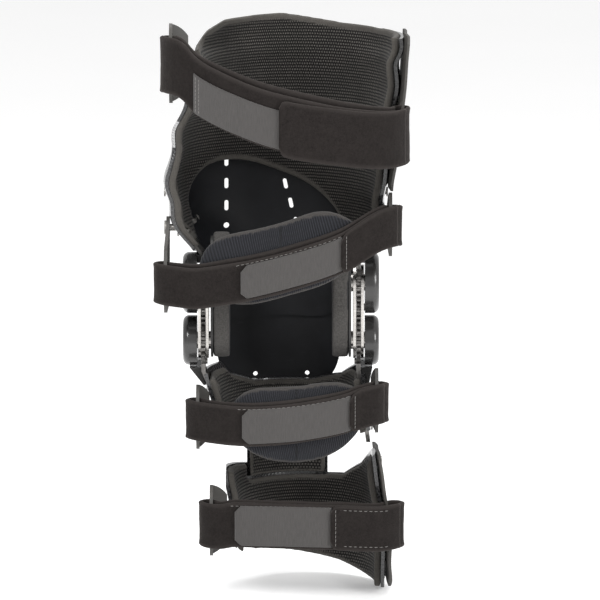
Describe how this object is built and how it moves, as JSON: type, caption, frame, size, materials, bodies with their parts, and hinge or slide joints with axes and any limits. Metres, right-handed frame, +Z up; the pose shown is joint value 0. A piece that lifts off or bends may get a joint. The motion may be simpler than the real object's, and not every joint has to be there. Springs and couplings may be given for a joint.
{
  "type": "knee brace",
  "caption": "Rigid hinged knee brace with lined thigh and calf shells, geared side hinges, a kneecap guard and wrap-around straps with hook tabs.",
  "frame": {"origin": "knee centre, midway between the two hinges and between their upper and lower axles", "axes": "+X to the wearer's right (lateral side of this right-leg brace), +Y to the front of the leg, +Z up the leg"},
  "size_m": [0.1827, 0.161, 0.4128],
  "materials": {
    "carbon": "glossy carbon laminate",
    "mesh": "spacer mesh over foam",
    "wing_plastic": "satin",
    "guard_plastic": "satin",
    "cap_plastic": "satin moulded",
    "arm_metal": "dark anodised",
    "hinge_steel": "polished",
    "bush_nylon": "nylon",
    "condyle_foam": "brushed fabric over foam",
    "backing_plastic": "satin",
    "rivet_metal": "black oxide",
    "spacer_plastic": "satin",
    "tab_plastic": "satin moulded",
    "strap_fabric": "brushed loop fabric",
    "hook_fabric": "woven hook tape",
    "pad_fabric": "ribbed knit over foam"
  },
  "bodies": {
    "thigh": {"thigh_shell": "carbon", "thigh_liner": "mesh", "lateral_thigh_wing": "wing_plastic", "patella_plate": "guard_plastic", "upper_hinge_cap_right": "cap_plastic", "upper_hinge_cap_left": "cap_plastic", "thigh_hinge_arm_right": "arm_metal", "thigh_hinge_arm_left": "arm_metal", "upper_cap_screws": "hinge_steel", "thigh_arm_bushes": "bush_nylon", "thigh_rivets": "rivet_metal", "patella_plate_screws": "rivet_metal", "thigh_strap": "strap_fabric", "knee_strap": "strap_fabric", "thigh_hook_tab": "hook_fabric", "knee_hook_tab": "hook_fabric", "knee_strap_pad": "pad_fabric", "strap_tab_knee_left": "tab_plastic"},
    "hinge_right": {"inner_hinge_plate_right": "hinge_steel", "outer_hinge_plate_right": "hinge_steel", "hinge_axles_right": "hinge_steel", "stop_screw_right": "hinge_steel", "extension_stop_right": "bush_nylon", "condyle_pad_right": "condyle_foam", "condyle_backing_right": "backing_plastic"},
    "hinge_left": {"inner_hinge_plate_left": "hinge_steel", "outer_hinge_plate_left": "hinge_steel", "hinge_axles_left": "hinge_steel", "stop_screw_left": "hinge_steel", "extension_stop_left": "bush_nylon", "condyle_pad_left": "condyle_foam", "condyle_backing_left": "backing_plastic"},
    "calf": {"calf_shell": "carbon", "calf_liner": "mesh", "shin_pad": "mesh", "bottom_cuff_liner": "mesh", "lateral_calf_wing": "wing_plastic", "patella_cup": "guard_plastic", "patella_cup_spacers": "spacer_plastic", "patella_cup_screws": "rivet_metal", "lower_hinge_cap_right": "cap_plastic", "lower_hinge_cap_left": "cap_plastic", "calf_arm_cover_right": "cap_plastic", "calf_arm_cover_left": "cap_plastic", "calf_hinge_arm_right": "arm_metal", "calf_hinge_arm_left": "arm_metal", "lower_cap_screws": "hinge_steel", "calf_arm_bushes": "bush_nylon", "calf_rivets": "rivet_metal", "calf_strap": "strap_fabric", "bottom_strap": "strap_fabric", "calf_hook_tab": "hook_fabric", "bottom_hook_tab": "hook_fabric", "calf_strap_pad": "pad_fabric"},
    "tab_top_left": {"strap_tab_top_left": "tab_plastic"},
    "tab_knee_right": {"strap_tab_knee_right": "tab_plastic"},
    "tab_calf_left": {"strap_tab_calf_left": "tab_plastic"},
    "tab_calf_right": {"strap_tab_calf_right": "tab_plastic"},
    "tab_bottom_left": {"strap_tab_bottom_left": "tab_plastic"}
  },
  "joints": [
    {"name": "knee_upper_right", "type": "hinge", "parent": "thigh", "child": "hinge_right", "pos_m": [0, 0, 0.021], "axis": [-1, 0, 0], "range_deg": [0, 55], "deforming": ["knee_strap", "knee_hook_tab", "knee_strap_pad", "calf_strap", "calf_hook_tab", "calf_strap_pad"]},
    {"name": "knee_lower_right", "type": "hinge", "parent": "hinge_right", "child": "calf", "pos_m": [0, 0, -0.021], "axis": [-1, 0, 0], "range_deg": [0, 55]},
    {"name": "knee_upper_left", "type": "hinge", "parent": "thigh", "child": "hinge_left", "pos_m": [0, 0, 0.021], "axis": [-1, 0, 0], "range_deg": [0, 55]},
    {"name": "tab_top_left_swivel", "type": "hinge", "parent": "thigh", "child": "tab_top_left", "pos_m": [-0.06484, -0.005, 0.183], "axis": [1, 0, 0], "range_deg": [-3, 3]},
    {"name": "tab_knee_right_swivel", "type": "hinge", "parent": "thigh", "child": "tab_knee_right", "pos_m": [0.0751, -0.005, 0.072], "axis": [1, 0, 0], "range_deg": [-3, 3]},
    {"name": "tab_calf_left_swivel", "type": "hinge", "parent": "calf", "child": "tab_calf_left", "pos_m": [-0.05045, -0.005, -0.073], "axis": [1, 0, 0], "range_deg": [-2, 3]},
    {"name": "tab_calf_right_swivel", "type": "hinge", "parent": "calf", "child": "tab_calf_right", "pos_m": [0.06355, -0.005, -0.066], "axis": [1, 0, 0], "range_deg": [-3, 3]},
    {"name": "tab_bottom_left_swivel", "type": "hinge", "parent": "calf", "child": "tab_bottom_left", "pos_m": [-0.03792, -0.005, -0.149], "axis": [1, 0, 0], "range_deg": [-3, 3]}
  ],
  "couplings": [
    {"joint": "knee_lower_right", "follows": "knee_upper_right", "ratio": 1},
    {"joint": "knee_upper_left", "follows": "knee_upper_right", "ratio": 1}
  ]
}
